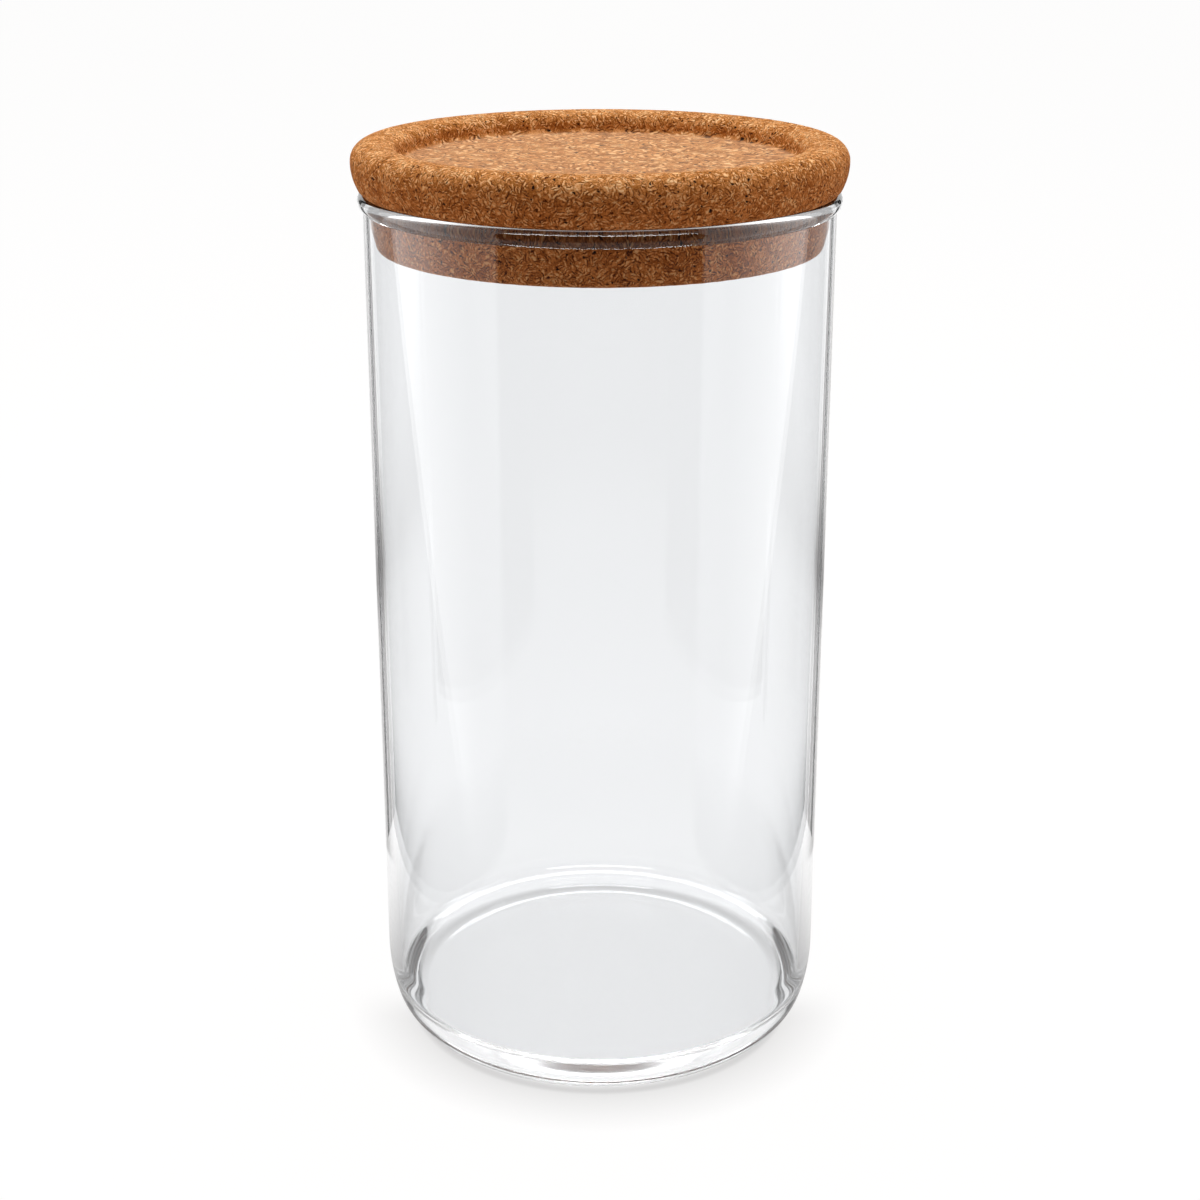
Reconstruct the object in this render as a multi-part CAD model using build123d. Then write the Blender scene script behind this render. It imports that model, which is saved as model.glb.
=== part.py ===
from build123d import *
import math
import os

# A round storage jar of clear glass, closed by a one-piece cork lid.
# Millimetres, +Z up. The origin is the centre of the ring that the jar stands on.

# Glass jar: the body, whose inner side narrows a little from the mouth down to the floor
body_radius = 52.5
glass_height = 202.25
floor_wall = 2.7
floor_height = 9.2
floor_corner_radius = 3.2

# Glass jar: the heel, three arcs that run into one another from the foot up to the wall
foot_radius = 6.0
foot_sweep = 20.5
corner_radius = 11.3
corner_sweep = 54.5
shoulder_radius = 41.4
shoulder_sweep = 90.0 - foot_sweep - corner_sweep

# Glass jar: the foot land that it stands on, and the shallow dome pushed up inside it
land_width = 3.0
push_up_rise = 0.5

# Glass jar: the beaded rim over its small step, and the lip rounded outwards and inwards
bead_height = 3.6
bead_overhang = 1.15
bead_step = 0.1
lip_outer_radius = 1.55
lip_inner_radius = 0.8

# How far the cork stays clear of the glass
plug_clearance = 0.3
seat_clearance = 0.2

# Cork lid: the plug that goes into the mouth
plug_depth = 12.2
plug_straight_depth = 5.45
plug_taper = 13.0
plug_taper_radius = 8.0
plug_corner_radius = 1.6

# Cork lid: the rounded ring that rests on the lip, and the panel sunk inside it
ring_overhang = 1.35
ring_belly_radius = 12.5
ring_belly_height = 6.65
ring_edge_radius = 4.1
ring_foot_radius = 0.8
crown_radius = 17.5
crown_sweep = 14.0
panel_radius = 44.6
panel_sink = 4.65
panel_corner_radius = 1.1


def on_arc(radius, sweep_from, sweep_to):
    """Reach and rise of an arc whose tangent turns from one angle above level to another."""
    start, end = math.radians(sweep_from), math.radians(sweep_to)
    return radius * (math.sin(end) - math.sin(start)), radius * (math.cos(start) - math.cos(end))


def turned(outline):
    """Turn an outline, drawn as radius and height, about the upright axis."""
    return revolve(Plane.XZ * make_face(outline), Axis.Z)


# Where the heel starts: the three arcs have to end on the wall's outer face
heel_steps = [
    on_arc(foot_radius, 0, foot_sweep),
    on_arc(corner_radius, foot_sweep, foot_sweep + corner_sweep),
    on_arc(shoulder_radius, foot_sweep + corner_sweep, foot_sweep + corner_sweep + shoulder_sweep),
]
land_outer_radius = body_radius - sum(reach for reach, rise in heel_steps)
land_inner_radius = land_outer_radius - land_width

# The bead is an arc that bulges from the step to its widest point, where the lip's outer arc starts
bead_top_radius = body_radius + bead_overhang
crease_r = body_radius + bead_step
crease_z = glass_height - bead_height
bead_rise = bead_height - lip_outer_radius
bead_bulge = bead_overhang - bead_step
bead_radius = (bead_rise**2 + bead_bulge**2) / bead_bulge / 2
bead_sweep = math.degrees(math.asin(bead_rise / bead_radius))

# The inner wall's draft, from the lip down to the floor's rounded corner
mouth_radius = bead_top_radius - lip_outer_radius - lip_inner_radius
mouth_z = glass_height - lip_inner_radius
inner_radius = body_radius - floor_wall
wall_draft = math.atan2(mouth_radius - inner_radius, mouth_z - floor_height - floor_corner_radius)
wall_foot_z = floor_height + floor_corner_radius * (1 - math.sin(wall_draft))


def glass_jar():
    """The jar: outer side from the push-up to the lip, then the inner side back down."""
    dome_radius = (land_inner_radius**2 + push_up_rise**2) / push_up_rise / 2
    dome_sweep = math.degrees(math.asin(land_inner_radius / dome_radius))
    dome = CenterArc((0, push_up_rise - dome_radius), dome_radius, 90, -dome_sweep)
    land = Line(dome @ 1, (land_outer_radius, 0))
    foot = JernArc(land @ 1, land % 1, foot_radius, foot_sweep)
    corner = JernArc(foot @ 1, foot % 1, corner_radius, corner_sweep)
    shoulder = JernArc(corner @ 1, corner % 1, shoulder_radius, shoulder_sweep)
    outer_wall = Line(shoulder @ 1, (body_radius, crease_z))
    crease = Line(outer_wall @ 1, (crease_r, crease_z))
    bead_centre = (bead_top_radius - bead_radius, crease_z + bead_rise)
    bead = CenterArc(bead_centre, bead_radius, -bead_sweep, bead_sweep)
    lip_outside = JernArc(bead @ 1, bead % 1, lip_outer_radius, 90)
    lip_inside = JernArc(lip_outside @ 1, lip_outside % 1, lip_inner_radius, 90)
    inner_wall = Line(lip_inside @ 1, (inner_radius, wall_foot_z))
    floor_corner = JernArc(inner_wall @ 1, inner_wall % 1, floor_corner_radius, math.degrees(wall_draft) - 90)
    floor = Line(floor_corner @ 1, (0, (floor_corner @ 1).Y))
    axis = Line(floor @ 1, dome @ 0)
    return turned([dome, land, foot, corner, shoulder, outer_wall, crease, bead,
                   lip_outside, lip_inside, inner_wall, floor_corner, floor, axis])


def cork_lid():
    """The lid: panel, brim and crown on top, the ring's outer side, then the plug below."""
    plug_radius = mouth_radius - plug_clearance
    seat_z = glass_height + seat_clearance
    belly_z = seat_z + ring_belly_height
    crown_z = belly_z + ring_edge_radius
    panel_z = crown_z - panel_sink
    widest_radius = bead_top_radius + ring_overhang
    plug_bottom_z = glass_height - plug_depth

    crown_start_r = widest_radius - ring_edge_radius
    edge = CenterArc((crown_start_r, belly_z), ring_edge_radius, 90, -90)
    crown = JernArc(edge @ 0, (-1, 0), crown_radius, crown_sweep)
    brim_radius = ((crown @ 1).X - panel_radius) / (1 - math.sin(math.radians(crown_sweep)))
    brim = JernArc(crown @ 1, crown % 1, brim_radius, 90 - crown_sweep)
    brim_wall = Line(brim @ 1, ((brim @ 1).X, panel_z + panel_corner_radius))
    panel_corner = JernArc(brim_wall @ 1, brim_wall % 1, panel_corner_radius, -90)
    panel = Line(panel_corner @ 1, (0, panel_z))
    axis = Line(panel @ 1, (0, plug_bottom_z))
    belly_sweep = math.degrees(math.asin((ring_belly_height - ring_foot_radius) / ring_belly_radius))
    belly = JernArc(edge @ 1, edge % 1, ring_belly_radius, -belly_sweep)
    ring_foot = Line(belly @ 1, ((belly @ 1).X - ring_foot_radius, seat_z))
    seat = Line(ring_foot @ 1, (plug_radius, seat_z))
    plug_side = Line(seat @ 1, (plug_radius, glass_height - plug_straight_depth))
    plug_bend = JernArc(plug_side @ 1, plug_side % 1, plug_taper_radius, -plug_taper)
    plug_round_sweep = 90 - plug_taper
    round_reach, round_rise = on_arc(plug_corner_radius, 0, plug_round_sweep)
    slope_drop = (plug_bend @ 1).Y - plug_bottom_z - round_rise
    slope_end = (plug_bend @ 1) + Vector(-slope_drop * math.tan(math.radians(plug_taper)), -slope_drop)
    plug_slope = Line(plug_bend @ 1, slope_end)
    plug_round = JernArc(plug_slope @ 1, plug_slope % 1, plug_corner_radius, -plug_round_sweep)
    plug_bottom = Line(plug_round @ 1, (0, plug_bottom_z))
    return turned([axis, panel, panel_corner, brim_wall, brim, crown, edge, belly, ring_foot, seat,
                   plug_side, plug_bend, plug_slope, plug_round, plug_bottom])


os.makedirs("parts", exist_ok=True)
export_step(glass_jar(), "parts/glass_jar.step")
export_step(cork_lid(), "parts/cork_lid.step")
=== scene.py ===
import logging
import math
from dataclasses import dataclass, field
from enum import Enum

import bpy
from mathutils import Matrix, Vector


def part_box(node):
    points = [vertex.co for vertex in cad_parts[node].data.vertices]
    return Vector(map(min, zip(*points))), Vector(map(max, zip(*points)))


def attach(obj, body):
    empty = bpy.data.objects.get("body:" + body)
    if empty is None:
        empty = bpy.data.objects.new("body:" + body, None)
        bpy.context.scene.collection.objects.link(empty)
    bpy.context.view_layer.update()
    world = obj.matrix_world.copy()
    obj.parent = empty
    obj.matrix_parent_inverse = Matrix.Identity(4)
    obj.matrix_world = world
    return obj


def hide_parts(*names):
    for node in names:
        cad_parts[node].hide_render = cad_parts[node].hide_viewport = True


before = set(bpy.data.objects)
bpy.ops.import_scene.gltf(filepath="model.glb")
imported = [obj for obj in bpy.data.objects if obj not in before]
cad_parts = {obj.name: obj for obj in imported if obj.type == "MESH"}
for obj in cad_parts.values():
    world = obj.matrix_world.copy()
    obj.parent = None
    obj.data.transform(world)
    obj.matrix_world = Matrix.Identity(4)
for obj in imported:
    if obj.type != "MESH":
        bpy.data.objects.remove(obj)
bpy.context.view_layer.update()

MM = 0.001
WHITE = (1.0, 1.0, 1.0, 1.0)
# Points closer than this are one point: it only welds the spin's seam and its poles
WELD = 0.002 * MM
# Faces that meet at less than this angle, in degrees, are shaded as one curve
SHARPEST_SMOOTH = 25.0
# Transmission Depth above this is light that has passed the jar's near wall, which counts two
PAST_NEAR_WALL = 2.5
log = logging.getLogger("jar")


class Body(Enum):
    """The two bodies of the CAD model that the pieces ride on."""

    JAR = "jar"
    LID = "lid"


class Slot(Enum):
    """The record's material slots."""

    GLASS = "clear_glass"
    CORK = "cork"


def linear(hex_colour: str) -> tuple[float, float, float, float]:
    """Turn an sRGB hex colour into the linear colour that a shader takes.

    Args:
        hex_colour: Six hex digits, such as "b4763f".

    Returns:
        Red, green, blue and alpha, all linear.
    """
    channels = []
    for at in (0, 2, 4):
        value = int(hex_colour[at:at + 2], 16) / 255
        channels.append(value / 12.92 if value <= 0.04045 else ((value + 0.055) / 1.055) ** 2.4)
    return (*channels, 1.0)


def node(tree: bpy.types.NodeTree, kind: str, settings: dict | None = None,
         inputs: dict | None = None) -> bpy.types.Node:
    """Add a node, set its properties, and set or link its inputs.

    Args:
        tree: The node tree that takes the node.
        kind: The node's Blender type name.
        settings: Properties of the node.
        inputs: Input name or number to a value, or to the output socket that feeds it.

    Returns:
        The new node.
    """
    made = tree.nodes.new(kind)
    for name, value in (settings or {}).items():
        setattr(made, name, value)
    for name, value in (inputs or {}).items():
        socket = made.inputs[name]
        if isinstance(value, bpy.types.NodeSocket):
            tree.links.new(value, socket)
        else:
            socket.default_value = value
    return made


def new_material(name: str) -> tuple[bpy.types.Material, bpy.types.NodeTree, bpy.types.Node]:
    """Make an empty node material.

    Args:
        name: The material's name.

    Returns:
        The material, its node tree and its output node.
    """
    material = bpy.data.materials.new(name)
    material.use_nodes = True
    tree = material.node_tree
    tree.nodes.clear()
    return material, tree, tree.nodes.new("ShaderNodeOutputMaterial")


@dataclass
class Outline:
    """A half section drawn as radius and height in millimetres, from arcs and lines that run on.

    heading is the drawing direction in degrees: 0 points outwards, 90 points up.
    """

    points: list[tuple[float, float]]
    heading: float = 0.0
    step: float = 0.6
    hold: float = 0.4

    def line_to(self, r: float, z: float, pieces: int = 1) -> "Outline":
        """Draw a straight line to a point, held straight at its ends by a short piece, and return self.

        Args:
            r: The point's radius.
            z: The point's height.
            pieces: How many pieces the middle of a long line has.

        Returns:
            The outline itself.
        """
        r0, z0 = self.points[-1]
        length = math.hypot(r - r0, z - z0)
        self.heading = math.degrees(math.atan2(z - z0, r - r0))
        hold = self.hold / length if length > 3 * self.hold else 0.0
        shares = [hold + (1 - 2 * hold) * k / pieces for k in range(pieces + 1)] + [1.0]
        for share in shares if hold else [1.0]:
            self.points.append((r0 + (r - r0) * share, z0 + (z - z0) * share))
        return self

    def arc(self, radius: float, turn: float, least: int = 6) -> "Outline":
        """Draw an arc that starts along the heading.

        Args:
            radius: The arc's radius.
            turn: The angle that it turns by, in degrees; to the left is positive.
            least: The fewest pieces that it has.

        Returns:
            The outline itself.
        """
        side = math.copysign(1.0, turn)
        start = math.radians(self.heading)
        r0, z0 = self.points[-1]
        centre_r = r0 - side * radius * math.sin(start)
        centre_z = z0 + side * radius * math.cos(start)
        pieces = max(least, math.ceil(radius * math.radians(abs(turn)) / self.step))
        for k in range(1, pieces + 1):
            angle = start + math.radians(turn) * k / pieces
            self.points.append((centre_r + side * radius * math.sin(angle),
                                centre_z - side * radius * math.cos(angle)))
        self.heading += turn
        return self

    def turned(self, name: str, steps: int) -> bpy.types.Object:
        """Draw the outline as a chain of edges and spin it once about the upright axis.

        Args:
            name: The new object's name.
            steps: How many steps the full turn has.

        Returns:
            The closed, smooth mesh object, with its origin at the frame's origin.
        """
        bpy.ops.object.select_all(action="DESELECT")
        bpy.ops.mesh.primitive_plane_add(size=MM)
        piece = bpy.context.object
        piece.name = piece.data.name = name
        bpy.ops.object.mode_set(mode="EDIT")
        bpy.ops.mesh.select_all(action="SELECT")
        bpy.ops.mesh.merge(type="CENTER")
        r, z = self.points[0]
        bpy.ops.transform.translate(value=(r * MM, 0, z * MM))
        for next_r, next_z in self.points[1:]:
            shift = ((next_r - r) * MM, 0, (next_z - z) * MM)
            bpy.ops.mesh.extrude_region_move(TRANSFORM_OT_translate={"value": shift})
            r, z = next_r, next_z
        bpy.ops.mesh.select_all(action="SELECT")
        bpy.ops.mesh.spin(steps=steps, angle=math.tau, center=(0, 0, 0), axis=(0, 0, 1), use_auto_merge=True)
        bpy.ops.mesh.select_all(action="SELECT")
        bpy.ops.mesh.remove_doubles(threshold=WELD)
        bpy.ops.mesh.normals_make_consistent(inside=False)
        bpy.ops.object.mode_set(mode="OBJECT")
        bpy.ops.object.shade_smooth_by_angle(angle=math.radians(SHARPEST_SMOOTH))
        return piece


@dataclass(frozen=True)
class ClearGlass:
    """Clear soda-lime glass, moulded and fire-polished, with the underside left mould-rough.

    It gives the eye a clean, colourless wall with mirror-like reflections that grow towards the
    edges, a very faint cool tint where the glass is thick, and a soft, satin underside.
    """

    tint: str = "fcfdfe"
    ior: float = 1.5
    lamp_share: float = 0.96
    underside_mm: float = 0.6
    underside_roughness: float = 0.08

    def material(self) -> bpy.types.Material:
        """Build the material: glass to the eye, and clear to light on its way to the cork and the floor."""
        material, tree, output = new_material("soda_lime_glass_fire_polished")
        place = node(tree, "ShaderNodeTexCoord").outputs["Object"]
        level = node(tree, "ShaderNodeSeparateXYZ", inputs={0: place}).outputs["Z"]
        under = node(tree, "ShaderNodeMath", {"operation": "LESS_THAN"}, {
            0: level, 1: self.underside_mm * MM}).outputs[0]
        rough = node(tree, "ShaderNodeMath", {"operation": "MULTIPLY"}, {
            0: under, 1: self.underside_roughness}).outputs[0]
        glass = node(tree, "ShaderNodeBsdfPrincipled", inputs={
            "Base Color": linear(self.tint), "Roughness": rough, "IOR": self.ior, "Transmission Weight": 1.0})
        passing = node(tree, "ShaderNodeBsdfTransparent", inputs={"Color": (*[self.lamp_share] * 3, 1.0)})
        path = node(tree, "ShaderNodeLightPath")
        lighting = node(tree, "ShaderNodeMath", {"operation": "MAXIMUM"}, {
            0: path.outputs["Is Shadow Ray"], 1: path.outputs["Is Diffuse Ray"]})
        mixed = node(tree, "ShaderNodeMixShader", inputs={
            0: lighting.outputs[0], 1: glass.outputs[0], 2: passing.outputs[0]})
        tree.links.new(mixed.outputs[0], output.inputs["Surface"])
        return material


@dataclass(frozen=True)
class AgglomeratedCork:
    """Agglomerated cork: chopped cork pressed with a binder, then sanded, unvarnished.

    It gives the eye granules of curly parallel fibres in tan and orange brown, parted by thin dark
    gaps, with a few small dark pits, all matt. The fibres' crests are lightened as a painted
    highlight, the panel is paler, partly its own colour and partly painted light, and the top of the
    plug, under the ring, is darkened as painted shade.
    """

    granule_mm: float = 1.6
    curl_mm: float = 1.1
    curl_reach_mm: float = 1.3
    fibre_mm: float = 0.65
    stroke_mm: float = 1.0
    patch_mm: float = 5.0
    own_share: float = 0.3
    patch_share: float = 0.6
    # Painted highlight: the least and most that a fibre's crest is lightened
    crest_highlight_least: float = 0.08
    crest_highlight_most: float = 0.6
    gap_least: float = 0.1
    seam_mm: float = 0.1
    seam_dark: float = 0.35
    pit_spacing_mm: float = 2.2
    pit_mm: float = 0.3
    grain_mm: float = 0.3
    # Painted shade: the plug's colour is darkened between these two heights, just under the ring
    seat_shade_low_mm: float = 198.5
    seat_shade_high_mm: float = 202.4
    seat_shade_dark: float = 0.35
    gap: str = "471f08"
    dark: str = "a2672f"
    middle: str = "d39558"
    light: str = "e9b47c"
    pale: str = "fad8a6"
    pit: str = "1a0d05"
    # Inside the panel's radius the colour is mixed towards a paler one: partly the panel's own colour, partly painted
    # light where it faces up
    panel_pale_and_lit: str = "bcac9c"
    panel_lit_share: float = 0.22
    panel_radius_mm: float = 44.6
    panel_coarser: float = 2.0
    tone_from: float = 0.72
    tone_to: float = 1.54
    relief_mm: float = 0.12

    def fibres(self, tree: bpy.types.NodeTree, curled: bpy.types.NodeSocket) -> tuple[
            bpy.types.NodeSocket, bpy.types.NodeSocket]:
        """Lay curly parallel fibres into each granule, along a direction of its own.

        Args:
            tree: The material's node tree.
            curled: The place, bent by the curls.

        Returns:
            The place across a fibre, from 0 at its gap to 1 at the next, and its own tone.
        """
        granule = node(tree, "ShaderNodeTexVoronoi", inputs={
            "Vector": curled, "Scale": 1 / (self.granule_mm * MM)}).outputs["Color"]
        across = node(tree, "ShaderNodeVectorMath", {"operation": "SUBTRACT"}, {
            0: granule, 1: (0.5,) * 3}).outputs[0]
        across = node(tree, "ShaderNodeVectorMath", {"operation": "NORMALIZE"}, {0: across}).outputs[0]
        count = node(tree, "ShaderNodeVectorMath", {"operation": "DOT_PRODUCT"}, {
            0: across, 1: curled}).outputs["Value"]
        count = node(tree, "ShaderNodeMath", {"operation": "MULTIPLY"}, {
            0: count, 1: 1 / (self.fibre_mm * MM)}).outputs[0]
        share = node(tree, "ShaderNodeMath", {"operation": "FRACT"}, {0: count}).outputs[0]
        number = node(tree, "ShaderNodeMath", {"operation": "FLOOR"}, {0: count}).outputs[0]
        own = node(tree, "ShaderNodeTexWhiteNoise", {"noise_dimensions": "4D"}, {
            "Vector": granule, "W": number}).outputs["Value"]
        return share, own

    def material(self) -> bpy.types.Material:
        """Build the material: curly fibres with a painted highlight on their crests, seams between granules, pits,
        painted shade at the top of the plug and matching bump.
        """
        material, tree, output = new_material("cork_agglomerate_sanded")
        place = node(tree, "ShaderNodeTexCoord").outputs["Object"]
        flat = node(tree, "ShaderNodeVectorMath", {"operation": "MULTIPLY"}, {
            0: place, 1: (1.0, 1.0, 0.0)}).outputs[0]
        reach = node(tree, "ShaderNodeVectorMath", {"operation": "LENGTH"}, {0: flat}).outputs["Value"]
        inside = node(tree, "ShaderNodeMath", {"operation": "LESS_THAN"}, {
            0: reach, 1: self.panel_radius_mm * MM}).outputs[0]
        finer = node(tree, "ShaderNodeMix", {"data_type": "FLOAT"}, {
            0: inside, 2: 1.0, 3: 1 / self.panel_coarser}).outputs[0]
        sized = node(tree, "ShaderNodeVectorMath", {"operation": "SCALE"}, {
            0: place, "Scale": finer}).outputs[0]
        wander = node(tree, "ShaderNodeTexNoise", inputs={
            "Vector": sized, "Scale": 1 / (self.curl_mm * MM), "Detail": 1.5})
        off = node(tree, "ShaderNodeVectorMath", {"operation": "SUBTRACT"},
                   {0: wander.outputs["Color"], 1: (0.5,) * 3}).outputs[0]
        curled = node(tree, "ShaderNodeVectorMath", {"operation": "MULTIPLY_ADD"},
                      {0: off, 1: (self.curl_reach_mm * MM,) * 3, 2: sized}).outputs[0]
        share, own = self.fibres(tree, curled)
        patch = node(tree, "ShaderNodeTexNoise", inputs={
            "Vector": place, "Scale": 1 / (self.patch_mm * MM), "Detail": 2.0}).outputs[0]
        grain = node(tree, "ShaderNodeTexNoise", inputs={
            "Vector": place, "Scale": 1 / (self.grain_mm * MM), "Detail": 2.0}).outputs[0]
        strokes = node(tree, "ShaderNodeSeparateColor", inputs={0: node(tree, "ShaderNodeTexNoise", inputs={
            "Vector": sized, "Scale": 1 / (self.stroke_mm * MM), "Detail": 1.0}).outputs["Color"]})
        tone = node(tree, "ShaderNodeMath", {"operation": "MULTIPLY_ADD"}, {
            0: own, 1: self.own_share, 2: grain}).outputs[0]
        tone = node(tree, "ShaderNodeMath", {"operation": "MULTIPLY_ADD"}, {
            0: patch, 1: self.patch_share, 2: tone}).outputs[0]
        # Painted highlight: each fibre is lightened along its crest where the stroke noise is high; the same crest
        # also gives the bump its height
        crest = node(tree, "ShaderNodeMath", {"operation": "PINGPONG"}, {0: share, 1: 0.5}).outputs[0]
        lit = node(tree, "ShaderNodeMapRange", {"interpolation_type": "SMOOTHSTEP"}, {
            "Value": strokes.outputs[1], "From Min": 0.46, "From Max": 0.62,
            "To Min": self.crest_highlight_least, "To Max": self.crest_highlight_most}).outputs[0]
        crest_relief_and_highlight = node(tree, "ShaderNodeMapRange", {"interpolation_type": "SMOOTHSTEP"}, {
            "Value": crest, "From Min": 0.15, "From Max": 0.45}).outputs[0]
        crest_relief_and_highlight = node(tree, "ShaderNodeMath", {"operation": "MULTIPLY"}, {0: crest_relief_and_highlight, 1: lit}).outputs[0]
        tone = node(tree, "ShaderNodeMath", {"operation": "ADD"}, {0: tone, 1: crest_relief_and_highlight}).outputs[0]
        ramp = node(tree, "ShaderNodeValToRGB", inputs={0: node(tree, "ShaderNodeMapRange", inputs={
            "Value": tone, "From Min": self.tone_from, "From Max": self.tone_to}).outputs[0]})
        stops = ((0.1, self.dark), (0.42, self.middle), (0.7, self.light), (0.95, self.pale))
        for extra in range(len(stops) - 2):
            ramp.color_ramp.elements.new(0.5)
        for element, (at, colour) in zip(ramp.color_ramp.elements, stops):
            element.position, element.color = at, linear(colour)
        gap = node(tree, "ShaderNodeMapRange", {"interpolation_type": "SMOOTHSTEP"}, {
            "Value": crest, "From Min": 0.02, "From Max": 0.16, "To Min": 1.0, "To Max": 0.0}).outputs[0]
        shown = node(tree, "ShaderNodeMapRange", {"interpolation_type": "SMOOTHSTEP"}, {
            "Value": strokes.outputs[0], "From Min": 0.42, "From Max": 0.56,
            "To Min": 1.0, "To Max": self.gap_least}).outputs[0]
        gap = node(tree, "ShaderNodeMath", {"operation": "MULTIPLY"}, {0: gap, 1: shown}).outputs[0]
        edge = node(tree, "ShaderNodeTexVoronoi", {"feature": "DISTANCE_TO_EDGE"}, {
            "Vector": curled, "Scale": 1 / (self.granule_mm * MM)}).outputs["Distance"]
        seam = node(tree, "ShaderNodeMapRange", {"interpolation_type": "SMOOTHSTEP"}, {
            "Value": edge, "From Max": self.seam_mm / self.granule_mm,
            "To Min": self.seam_dark, "To Max": 0.0}).outputs[0]
        line = node(tree, "ShaderNodeMath", {"operation": "MAXIMUM"}, {0: gap, 1: seam}).outputs[0]
        lined = node(tree, "ShaderNodeMix", {"data_type": "RGBA"}, {
            0: line, 6: ramp.outputs[0], 7: linear(self.gap)}).outputs[2]
        pits = node(tree, "ShaderNodeTexVoronoi", inputs={
            "Vector": curled, "Scale": 1 / (self.pit_spacing_mm * MM)}).outputs["Distance"]
        pit_share = self.pit_mm / self.pit_spacing_mm
        pit = node(tree, "ShaderNodeMapRange", {"interpolation_type": "SMOOTHSTEP"}, {
            "Value": pits, "From Min": pit_share * 0.7, "From Max": pit_share * 1.1,
            "To Min": 1.0, "To Max": 0.0}).outputs[0]
        colour = node(tree, "ShaderNodeMix", {"data_type": "RGBA"}, {
            0: pit, 6: lined, 7: linear(self.pit)}).outputs[2]
        # Painted shade: a band at the top of the plug, under the ring's overhang, is darkened in the colour
        level = node(tree, "ShaderNodeSeparateXYZ", inputs={0: place}).outputs["Z"]
        above = node(tree, "ShaderNodeMath", {"operation": "GREATER_THAN"}, {
            0: level, 1: self.seat_shade_low_mm * MM}).outputs[0]
        below = node(tree, "ShaderNodeMath", {"operation": "LESS_THAN"}, {
            0: level, 1: self.seat_shade_high_mm * MM}).outputs[0]
        seat_shade_band = node(tree, "ShaderNodeMath", {"operation": "MULTIPLY"}, {0: above, 1: below}).outputs[0]
        shade = node(tree, "ShaderNodeMix", {"data_type": "FLOAT"}, {
            0: seat_shade_band, 2: 1.0, 3: self.seat_shade_dark}).outputs[0]
        colour = node(tree, "ShaderNodeVectorMath", {"operation": "SCALE"}, {
            0: colour, "Scale": shade}).outputs[0]
        # Paler inside the panel's radius, which the plug's underside shares: partly own colour, partly painted light
        panel = node(tree, "ShaderNodeMapRange", {"interpolation_type": "SMOOTHSTEP"}, {
            "Value": reach, "From Min": (self.panel_radius_mm - 1) * MM, "From Max": self.panel_radius_mm * MM,
            "To Min": self.panel_lit_share, "To Max": 0.0}).outputs[0]
        colour = node(tree, "ShaderNodeMix", {"data_type": "RGBA"}, {
            0: panel, 6: colour, 7: linear(self.panel_pale_and_lit)}).outputs[2]
        depth = node(tree, "ShaderNodeMath", {"operation": "MAXIMUM"}, {0: line, 1: pit}).outputs[0]
        height = node(tree, "ShaderNodeMath", {"operation": "SUBTRACT"}, {0: crest_relief_and_highlight, 1: depth}).outputs[0]
        bump = node(tree, "ShaderNodeBump", inputs={
            "Height": height, "Distance": self.relief_mm * MM, "Strength": 1.0}).outputs[0]
        cork = node(tree, "ShaderNodeBsdfPrincipled", inputs={
            "Base Color": colour, "Roughness": 0.9, "IOR": 1.45, "Specular IOR Level": 0.15, "Normal": bump})
        tree.links.new(cork.outputs[0], output.inputs["Surface"])
        return material


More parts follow.
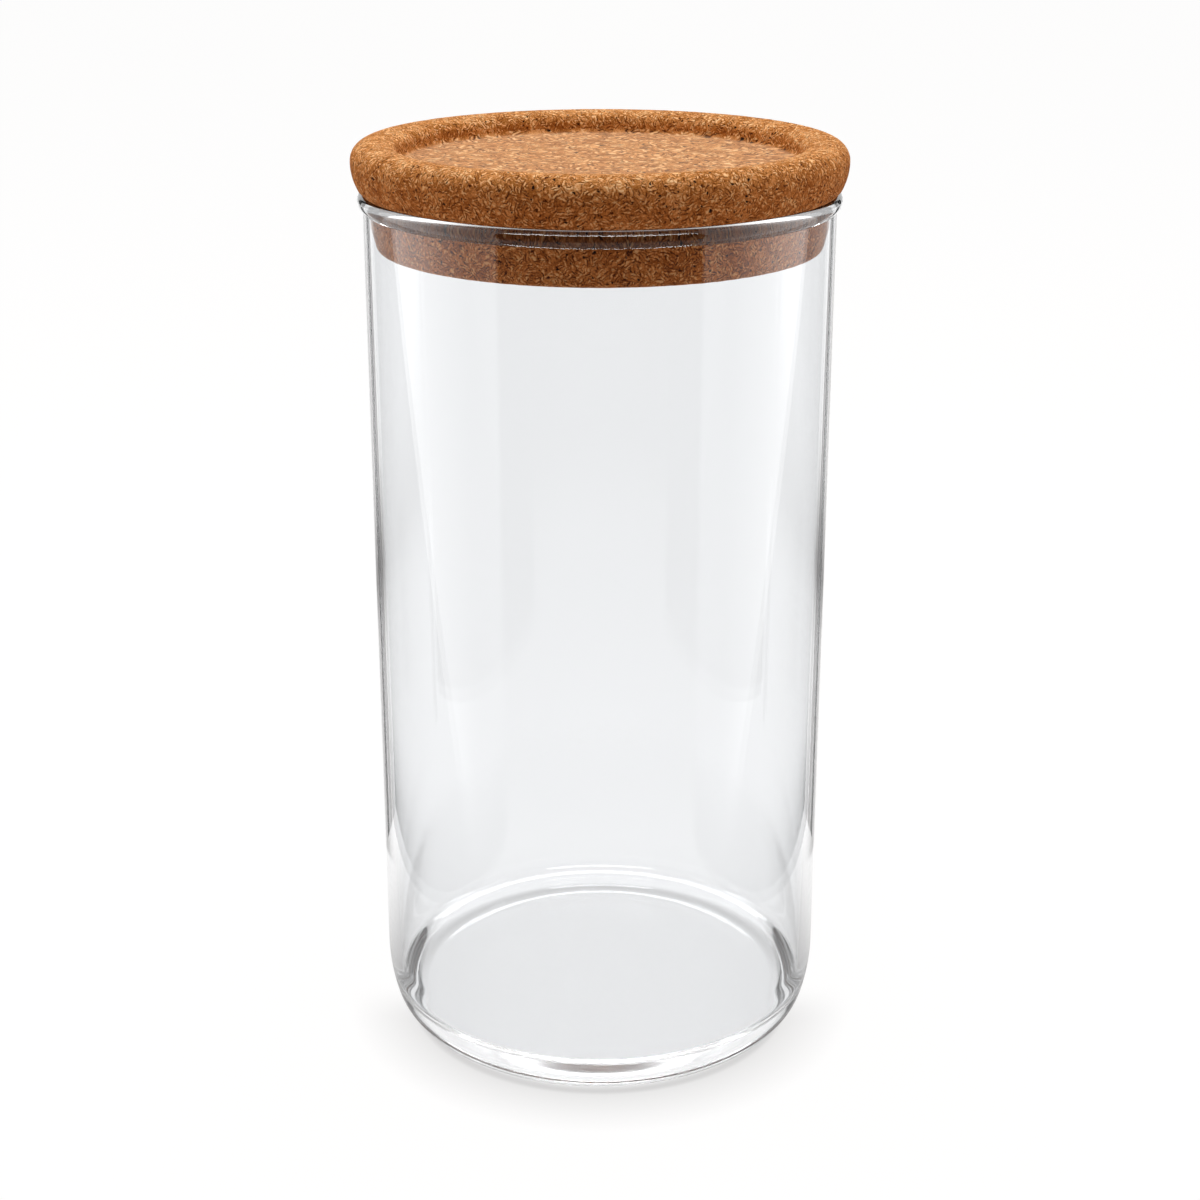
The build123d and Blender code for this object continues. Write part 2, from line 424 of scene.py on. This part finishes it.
@dataclass
class GlassJar:
    """The jar: one piece of glass, spun from its half section. Sizes are in millimetres."""

    body_radius: float = 52.5
    floor_wall: float = 2.7
    floor_height: float = 9.2
    floor_corner: float = 3.2
    foot_arc: tuple[float, float] = (6.0, 20.5)
    corner_arc: tuple[float, float] = (11.3, 54.5)
    shoulder_arc: tuple[float, float] = (41.4, 15.0)
    land_width: float = 3.0
    push_up: float = 0.5
    bead_height: float = 3.6
    bead_overhang: float = 1.15
    bead_step: float = 0.1
    lip_outer: float = 1.55
    lip_inner: float = 0.8
    steps: int = 256
    finish: ClearGlass = field(default_factory=ClearGlass)

    def outline(self, height: float) -> Outline:
        """Draw the half section, from the middle of the underside up and back down inside.

        Args:
            height: The lip's height above the foot.

        Returns:
            The closed outline.
        """
        reach, turned = 0.0, 0.0
        for radius, sweep in (self.foot_arc, self.corner_arc, self.shoulder_arc):
            reach += radius * (math.sin(math.radians(turned + sweep)) - math.sin(math.radians(turned)))
            turned += sweep
        land_outer = self.body_radius - reach
        land_inner = land_outer - self.land_width
        dome = (land_inner ** 2 + self.push_up ** 2) / self.push_up / 2
        dome_sweep = math.degrees(math.asin(land_inner / dome))
        rise = self.bead_height - self.lip_outer
        bulge = self.bead_overhang - self.bead_step
        bead = (rise ** 2 + bulge ** 2) / bulge / 2
        bead_sweep = math.degrees(math.asin(rise / bead))
        mouth = self.body_radius + self.bead_overhang - self.lip_outer - self.lip_inner
        inner = self.body_radius - self.floor_wall
        draft = math.atan2(mouth - inner, height - self.lip_inner - self.floor_height - self.floor_corner)
        wall_foot = self.floor_height + self.floor_corner * (1 - math.sin(draft))

        line = Outline([(0.0, self.push_up)], step=1.0)
        line.arc(dome, -dome_sweep, least=16)
        line.line_to(land_outer, 0.0)
        for radius, sweep in (self.foot_arc, self.corner_arc, self.shoulder_arc):
            line.arc(radius, sweep, least=10)
        line.line_to(self.body_radius, height - self.bead_height)
        line.line_to(self.body_radius + self.bead_step, height - self.bead_height)
        line.heading = 90 - bead_sweep
        line.arc(bead, bead_sweep, least=10)
        line.arc(self.lip_outer, 90, least=12)
        line.arc(self.lip_inner, 90, least=10)
        line.line_to(inner, wall_foot)
        line.arc(self.floor_corner, math.degrees(draft) - 90, least=14)
        line.line_to(0.0, line.points[-1][1], pieces=6)
        return line

    def build(self) -> bpy.types.Object:
        """Build the jar, dress it and seat it on its body.

        Returns:
            The jar's mesh object.
        """
        _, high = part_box("glass_jar")
        jar = self.outline(high.z / MM).turned("jar_glass", self.steps)
        jar.data.materials.append(self.finish.material())
        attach(jar, Body.JAR.value)
        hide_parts("glass_jar")
        return jar


@dataclass
class CorkLid:
    """The lid: one piece of cork, spun from its half section. Sizes are in millimetres."""

    ring_belly_height: float = 6.65
    ring_belly_radius: float = 12.5
    ring_edge_radius: float = 4.1
    ring_foot: float = 0.8
    crown_radius: float = 17.5
    crown_sweep: float = 14.0
    panel_radius: float = 44.6
    panel_sink: float = 4.65
    panel_corner: float = 1.1
    seat_below_crown: float = 10.75
    plug_radius: float = 51.0
    plug_straight: float = 5.45
    seat_clearance: float = 0.2
    plug_taper: float = 13.0
    plug_taper_radius: float = 8.0
    plug_corner: float = 1.6
    steps: int = 480
    relief_mm: float = 0.1
    relief_grain_mm: float = 1.6
    finish: AgglomeratedCork = field(default_factory=AgglomeratedCork)

    def outline(self, bottom: float, crown: float, widest: float) -> Outline:
        """Draw the half section, from the middle of the panel out, round the ring and down the plug.

        Args:
            bottom: Height of the plug's underside.
            crown: Height of the ring's crown.
            widest: The ring's largest radius.

        Returns:
            The closed outline.
        """
        crown_r = widest - self.ring_edge_radius
        sweep = math.radians(self.crown_sweep)
        shoulder_r = crown_r - self.crown_radius * math.sin(sweep)
        brim = (shoulder_r - self.panel_radius) / (1 - math.sin(sweep))
        panel_z = crown - self.panel_sink
        seat_z = crown - self.seat_below_crown
        lip_z = seat_z - self.seat_clearance
        line = Outline([(0.0, panel_z)])
        line.line_to(self.panel_radius - self.panel_corner, panel_z, pieces=44)
        line.arc(self.panel_corner, 90, least=4)
        brim_top = crown - self.crown_radius * (1 - math.cos(sweep)) - brim * math.cos(sweep)
        line.line_to(self.panel_radius, brim_top)
        line.arc(brim, -(90 - self.crown_sweep))
        line.arc(self.crown_radius, -self.crown_sweep)
        line.arc(self.ring_edge_radius, -90)
        belly = math.degrees(math.asin((self.ring_belly_height - self.ring_foot) / self.ring_belly_radius))
        line.arc(self.ring_belly_radius, -belly)
        r, z = line.points[-1]
        line.line_to(r - self.ring_foot, seat_z, pieces=2)
        line.line_to(self.plug_radius, seat_z, pieces=2)
        line.line_to(self.plug_radius, lip_z - self.plug_straight, pieces=9)
        line.arc(self.plug_taper_radius, -self.plug_taper)
        r, z = line.points[-1]
        rise = self.plug_corner * (1 - math.cos(math.radians(90 - self.plug_taper)))
        drop = z - bottom - rise
        line.line_to(r - drop * math.tan(math.radians(self.plug_taper)), z - drop, pieces=2)
        line.arc(self.plug_corner, -(90 - self.plug_taper))
        line.line_to(0.0, bottom, pieces=10)
        return line

    def relief(self, lid: bpy.types.Object) -> None:
        """Press the granules' uneven surface into the mesh, inwards only."""
        grain = bpy.data.textures.new("cork_granules", "CLOUDS")
        grain.noise_scale = self.relief_grain_mm * MM
        grain.noise_depth = 1
        press = lid.modifiers.new("granules", "DISPLACE")
        press.texture = grain
        press.texture_coords = "LOCAL"
        press.strength = self.relief_mm * MM
        press.mid_level = 1.0
        bpy.context.view_layer.objects.active = lid
        bpy.ops.object.modifier_apply(modifier=press.name)

    def build(self) -> bpy.types.Object:
        """Build the lid, dress it and seat it on its body.

        Returns:
            The lid's mesh object.
        """
        low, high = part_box("cork_lid")
        lid = self.outline(low.z / MM, high.z / MM, high.x / MM).turned("lid_cork", self.steps)
        self.relief(lid)
        lid.data.materials.append(self.finish.material())
        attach(lid, Body.LID.value)
        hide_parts("cork_lid")
        return lid


@dataclass(frozen=True)
class Lamp:
    """A soft lamp that only lights: where it hangs, what it points at, its sides and brightness.

    Lengths are in metres; brightness is the lamp face's own, where white paper in full light is 1.
    """

    name: str
    place: tuple[float, float, float]
    target: tuple[float, float, float]
    width: float
    height: float
    brightness: float
    colour: str = "ffffff"

    def build(self) -> None:
        """Hang the lamp, out of sight of the camera and of reflections."""
        lamp = bpy.data.lights.new(self.name, "AREA")
        lamp.shape = "RECTANGLE"
        lamp.size, lamp.size_y = self.width, self.height
        lamp.energy = self.brightness * math.pi * self.width * self.height
        lamp.color = linear(self.colour)[:3]
        holder = bpy.data.objects.new(self.name, lamp)
        bpy.context.scene.collection.objects.link(holder)
        holder.location = self.place
        aim = Vector(self.target) - Vector(self.place)
        holder.rotation_euler = aim.to_track_quat("-Z", "Y").to_euler()
        holder.visible_camera = holder.visible_glossy = holder.visible_transmission = False


@dataclass(frozen=True)
class Reflector:
    """An upright panel round the jar that only its glass shows. Lengths are in metres.

    facing is the angle of the panel's width in degrees: 0 lies along X and 90 along Y. stops are
    places along the width as shares of it, each with the brightness there. foot_cut is how much
    narrower the foot is at its end, and far_wall the share of light that the jar's far wall
    mirrors. A panel shows only by mirroring, and is never seen through the glass or the mouth.
    """

    name: str
    place: tuple[float, float]
    facing: float
    width: float
    low: float
    high: float
    brightest: float
    fade: float = 0.01
    stops: tuple[tuple[float, float], ...] = ((0.0, 1.0), (1.0, 1.0))
    foot_cut: float = 0.0
    far_wall: float = 1.0

    def build(self) -> None:
        """Stand the panel up and light it."""
        bpy.ops.object.select_all(action="DESELECT")
        turn = math.radians(self.facing)
        middle = (*self.place, (self.low + self.high) / 2)
        bpy.ops.mesh.primitive_plane_add(size=1, location=middle, rotation=(math.pi / 2, 0, turn))
        panel = bpy.context.object
        panel.name = panel.data.name = self.name
        panel.scale = (self.width, self.high - self.low, 1)
        bpy.ops.object.transform_apply(location=True, rotation=True, scale=True)
        run = Vector((math.cos(turn), math.sin(turn), 0))
        centre = run.dot(Vector(middle))
        for corner in panel.data.vertices:
            if corner.co.z < middle[2] and run.dot(corner.co) > centre:
                corner.co -= run * self.foot_cut
        material, tree, output = new_material(self.name)
        place = node(tree, "ShaderNodeTexCoord").outputs["Object"]
        along = node(tree, "ShaderNodeVectorMath", {"operation": "DOT_PRODUCT"}, {
            0: place, 1: run}).outputs["Value"]
        share = node(tree, "ShaderNodeMapRange", inputs={
            "Value": along, "From Min": centre - self.width / 2,
            "From Max": centre + self.width / 2}).outputs[0]
        ramp = node(tree, "ShaderNodeValToRGB", inputs={0: share})
        for extra in range(len(self.stops) - 2):
            ramp.color_ramp.elements.new(0.5)
        for element, (at, level) in zip(ramp.color_ramp.elements, self.stops):
            element.position, element.color = at, (*[level] * 3, 1.0)
        level = node(tree, "ShaderNodeSeparateXYZ", inputs={0: place}).outputs["Z"]
        rise = node(tree, "ShaderNodeMapRange", {"interpolation_type": "SMOOTHSTEP"}, {
            "Value": level, "From Min": self.low, "From Max": self.low + self.fade,
            "To Max": self.brightest}).outputs[0]
        depth = node(tree, "ShaderNodeLightPath").outputs["Transmission Depth"]
        far = node(tree, "ShaderNodeMath", {"operation": "GREATER_THAN"}, {
            0: depth, 1: PAST_NEAR_WALL}).outputs[0]
        near_far = node(tree, "ShaderNodeMix", {"data_type": "FLOAT"}, {
            0: far, 2: 1.0, 3: self.far_wall}).outputs[0]
        rise = node(tree, "ShaderNodeMath", {"operation": "MULTIPLY"}, {0: rise, 1: near_far}).outputs[0]
        glow = node(tree, "ShaderNodeEmission", inputs={"Color": ramp.outputs[0], "Strength": rise})
        mixed = node(tree, "ShaderNodeMixShader", inputs={
            0: mirrored(tree), 1: node(tree, "ShaderNodeBsdfTransparent").outputs[0], 2: glow.outputs[0]})
        tree.links.new(mixed.outputs[0], output.inputs["Surface"])
        panel.data.materials.append(material)
        panel.visible_camera = panel.visible_diffuse = panel.visible_shadow = False


def mirrored(tree: bpy.types.NodeTree) -> bpy.types.NodeSocket:
    """Tell light that was mirrored on its way to the eye from light that comes straight or through glass.

    Args:
        tree: The material's node tree.

    Returns:
        The socket that is 1 for mirrored light and 0 for other light.
    """
    path = node(tree, "ShaderNodeLightPath")
    return node(tree, "ShaderNodeMath", {"operation": "GREATER_THAN"}, {
        0: path.outputs["Glossy Depth"], 1: 0.5}).outputs[0]


@dataclass
class Studio:
    """The plain pale floor, the soft lights and the camera. Lengths are in metres."""

    focal_px: float = 2186.5
    frame_px: float = 1200.0
    sensor_mm: float = 36.0
    camera_distance: float = 0.4871
    camera_height: float = 0.2810
    camera_pitch: float = 19.84
    floor_size: float = 8.0
    floor_gap: float = 0.1 * MM
    floor_white: float = 0.97
    floor_shaded: str = "3a3a3c"
    floor_bounce: str = "a07c60"
    contact_reach: float = 2.5 * MM
    contact_dark: float = 0.4
    shadow_reach: float = 14 * MM
    shadow_dark: float = 0.72
    shadow_back: float = 5 * MM
    shadow_front: float = -15 * MM
    # Painted shadow: the floor's level under the jar, standing for the lid's shadow
    lid_shadow_under_jar: float = 0.86
    stand_inner: float = 43 * MM
    stand_outer: float = 47 * MM
    mirror_near: float = 0.24
    mirror_far: float = 0.42
    mirror_front: float = 0.4
    mirror_turn: float = -0.02
    mirror_back: float = 0.08
    mirror_dark: float = 0.03
    backdrop_near: float = 0.15
    backdrop_far: float = 0.45
    sky_fill: float = 0.25
    fill: str = "ffcc9c"
    top_brightness: float = 3.1
    side_brightness: float = 1.0
    panel_top: float = 0.6
    panel_fade: float = 0.04
    panel_brightness: float = 1.6
    dim_brightness: float = 0.5
    far_wall: float = 0.1
    flag_side: float = 0.0975
    flag_width: float = 0.013
    flag_brightness: float = 0.05
    curtain_brightness: float = 0.02
    strip_width: float = 1.8
    strip_low: float = 0.85
    strip_top: float = 1.35
    strip_brightness: float = 9.0
    key_brightness: float = 12.0
    bounces: int = 24

    lit_side: float = 0.12
    lit_middle: float = 0.0458
    lit_width: float = 0.3516
    lit_foot_cut: float = 0.3
    lit_stops: tuple[tuple[float, float], ...] = (
        (0.0, 0.36), (0.129, 0.4), (0.212, 0.68), (0.289, 1.0), (1.0, 1.0))
    dim_side: float = 0.122
    dim_middle: float = 0.0008
    dim_width: float = 0.1588
    flag_back: float = 0.08
    flag_top: float = 0.35
    strip_front: float = -0.8
    key_back: float = 0.6
    key_width: float = 1.2
    key_low: float = 0.55
    key_top: float = 2.8

    def camera(self) -> None:
        """Set the camera up at the fitted place."""
        data = bpy.data.cameras.new("camera")
        data.sensor_width = self.sensor_mm
        data.lens = self.focal_px / self.frame_px * self.sensor_mm
        data.clip_start = 0.01
        camera = bpy.data.objects.new("camera", data)
        camera.location = (0, -self.camera_distance, self.camera_height)
        camera.rotation_euler = (math.radians(90 - self.camera_pitch), 0, 0)
        bpy.context.scene.collection.objects.link(camera)
        bpy.context.scene.camera = camera

    def floor(self) -> None:
        """Lay the floor: white to the eye, shaded where the jar stands, and darker where the jar mirrors it."""
        bpy.ops.object.select_all(action="DESELECT")
        bpy.ops.mesh.primitive_plane_add(size=self.floor_size, location=(0, 0, -self.floor_gap))
        floor = bpy.context.object
        floor.name = floor.data.name = "floor"
        material, tree, output = new_material("floor_pale_board")
        path = node(tree, "ShaderNodeLightPath")
        place = node(tree, "ShaderNodeTexCoord").outputs["Object"]
        reach = node(tree, "ShaderNodeVectorMath", {"operation": "LENGTH"}, {0: place}).outputs["Value"]
        depth = node(tree, "ShaderNodeSeparateXYZ", inputs={0: place}).outputs["Y"]
        outside = node(tree, "ShaderNodeMapRange", {"interpolation_type": "SMOOTHSTEP"}, {
            "Value": reach, "From Min": self.stand_inner, "From Max": self.stand_outer}).outputs[0]
        touching = node(tree, "ShaderNodeAmbientOcclusion", inputs={"Distance": self.contact_reach}).outputs["AO"]
        contact = node(tree, "ShaderNodeMapRange", inputs={
            "Value": touching, "To Min": self.contact_dark, "To Max": 1.0}).outputs[0]
        close = node(tree, "ShaderNodeAmbientOcclusion", inputs={"Distance": self.shadow_reach}).outputs["AO"]
        soft = node(tree, "ShaderNodeMapRange", inputs={
            "Value": close, "To Min": self.shadow_dark, "To Max": 1.0}).outputs[0]
        in_front = node(tree, "ShaderNodeMapRange", {"interpolation_type": "SMOOTHSTEP"}, {
            "Value": depth, "From Min": self.shadow_back, "From Max": self.shadow_front}).outputs[0]
        shadow = node(tree, "ShaderNodeMix", {"data_type": "FLOAT"}, {0: in_front, 2: 1.0, 3: soft}).outputs[0]
        dark = node(tree, "ShaderNodeMath", {"operation": "MINIMUM"}, {0: contact, 1: shadow}).outputs[0]
        # Painted shadow: a fixed shade under the jar for the lid's shadow, and round it the contact and front shadows
        # from the AO nodes
        shade = node(tree, "ShaderNodeMix", {"data_type": "FLOAT"}, {
            0: outside, 2: self.lid_shadow_under_jar, 3: dark}).outputs[0]
        behind = node(tree, "ShaderNodeMapRange", {"interpolation_type": "SMOOTHSTEP"}, {
            "Value": depth, "From Min": self.backdrop_near, "From Max": self.backdrop_far}).outputs[0]
        front = node(tree, "ShaderNodeMapRange", {"interpolation_type": "SMOOTHSTEP"}, {
            "Value": depth, "From Min": self.mirror_turn, "From Max": self.mirror_back,
            "To Min": self.mirror_front, "To Max": 1.0}).outputs[0]
        near = node(tree, "ShaderNodeMapRange", {"interpolation_type": "SMOOTHSTEP"}, {
            "Value": reach, "From Min": self.mirror_near, "From Max": self.mirror_far,
            "To Min": front, "To Max": self.mirror_dark}).outputs[0]
        image = node(tree, "ShaderNodeMath", {"operation": "MAXIMUM"}, {0: behind, 1: near}).outputs[0]
        white = node(tree, "ShaderNodeMix", {"data_type": "FLOAT"}, {
            0: mirrored(tree), 2: self.floor_white, 3: image}).outputs[0]
        shaded = node(tree, "ShaderNodeMath", {"operation": "MULTIPLY"}, {0: white, 1: shade}).outputs[0]
        bounce = path.outputs["Is Diffuse Ray"]
        board_colour = node(tree, "ShaderNodeMix", {"data_type": "RGBA"}, {
            0: bounce, 6: linear(self.floor_shaded), 7: linear(self.floor_bounce)}).outputs[2]
        board = node(tree, "ShaderNodeBsdfDiffuse", inputs={"Color": board_colour})
        seen = node(tree, "ShaderNodeMath", {"operation": "SUBTRACT"}, {0: 1.0, 1: bounce}).outputs[0]
        level = node(tree, "ShaderNodeMath", {"operation": "MULTIPLY"}, {0: shaded, 1: seen}).outputs[0]
        glow = node(tree, "ShaderNodeEmission", inputs={"Color": WHITE, "Strength": level})
        both = node(tree, "ShaderNodeAddShader", inputs={0: board.outputs[0], 1: glow.outputs[0]})
        tree.links.new(both.outputs[0], output.inputs["Surface"])
        floor.data.materials.append(material)

    def lights(self) -> None:
        """Hang the lamps and stand the lit panels that the glass mirrors."""
        Lamp("top_lamp", (0, 0.15, 1.3), (0, 0, 0.2), 1.2, 1.2, self.top_brightness).build()
        for side in (-1, 1):
            Lamp("side_lamp", (side * 0.6, 0.1, 0.35), (0, 0, 0.15), 0.5, 0.6, self.side_brightness, self.fill).build()
            Reflector("lit_panel", (side * self.lit_side, self.lit_middle), 90, self.lit_width, 0.0,
                      self.panel_top, self.panel_brightness, self.panel_fade, self.lit_stops,
                      foot_cut=self.lit_foot_cut, far_wall=self.far_wall).build()
            Reflector("dim_panel", (side * self.dim_side, self.dim_middle), 90, self.dim_width, 0.0,
                      self.panel_top, self.dim_brightness, self.panel_fade, far_wall=self.far_wall).build()
            Reflector("dark_flag", (side * self.flag_side, self.flag_back), 0, self.flag_width, 0.0,
                      self.flag_top, self.flag_brightness).build()
        Reflector("front_curtain", (0, self.strip_front), 0, self.strip_width, 0.0, self.strip_low,
                  self.curtain_brightness).build()
        Reflector("front_strip", (0, self.strip_front), 0, self.strip_width, self.strip_low, self.strip_top,
                  self.strip_brightness).build()
        Reflector("key_panel", (0, self.key_back), 0, self.key_width, self.key_low, self.key_top,
                  self.key_brightness).build()

    def world(self) -> None:
        """Fill in softly from all round, and show white to the eye, through glass and in reflections."""
        world = bpy.data.worlds.new("studio")
        bpy.context.scene.world = world
        world.use_nodes = True
        tree = world.node_tree
        tree.nodes.clear()
        output = tree.nodes.new("ShaderNodeOutputWorld")
        path = node(tree, "ShaderNodeLightPath")
        strength = node(tree, "ShaderNodeMix", {"data_type": "FLOAT"}, {
            0: path.outputs["Is Diffuse Ray"], 2: 1.0, 3: self.sky_fill}).outputs[0]
        colour = node(tree, "ShaderNodeMix", {"data_type": "RGBA"}, {
            0: path.outputs["Is Diffuse Ray"], 6: WHITE, 7: linear(self.fill)}).outputs[2]
        light = node(tree, "ShaderNodeBackground", inputs={"Color": colour, "Strength": strength})
        tree.links.new(light.outputs[0], output.inputs["Surface"])

    def build(self) -> None:
        """Build the studio, and let light go through the thick glass of the base to its end."""
        self.camera()
        self.floor()
        self.lights()
        self.world()
        scene = bpy.context.scene
        scene.view_settings.view_transform = "Standard"
        scene.cycles.max_bounces = scene.cycles.glossy_bounces = self.bounces
        scene.cycles.transmission_bounces = self.bounces


def main() -> None:
    """Build the studio, then the jar and its lid, and report each piece."""
    logging.basicConfig(level=logging.INFO, format="%(name)s: %(message)s")
    Studio().build()
    for maker in (GlassJar(), CorkLid()):
        piece = maker.build()
        log.info("%s: %d faces", piece.name, len(piece.data.polygons))


if __name__ == "__main__":
    main()
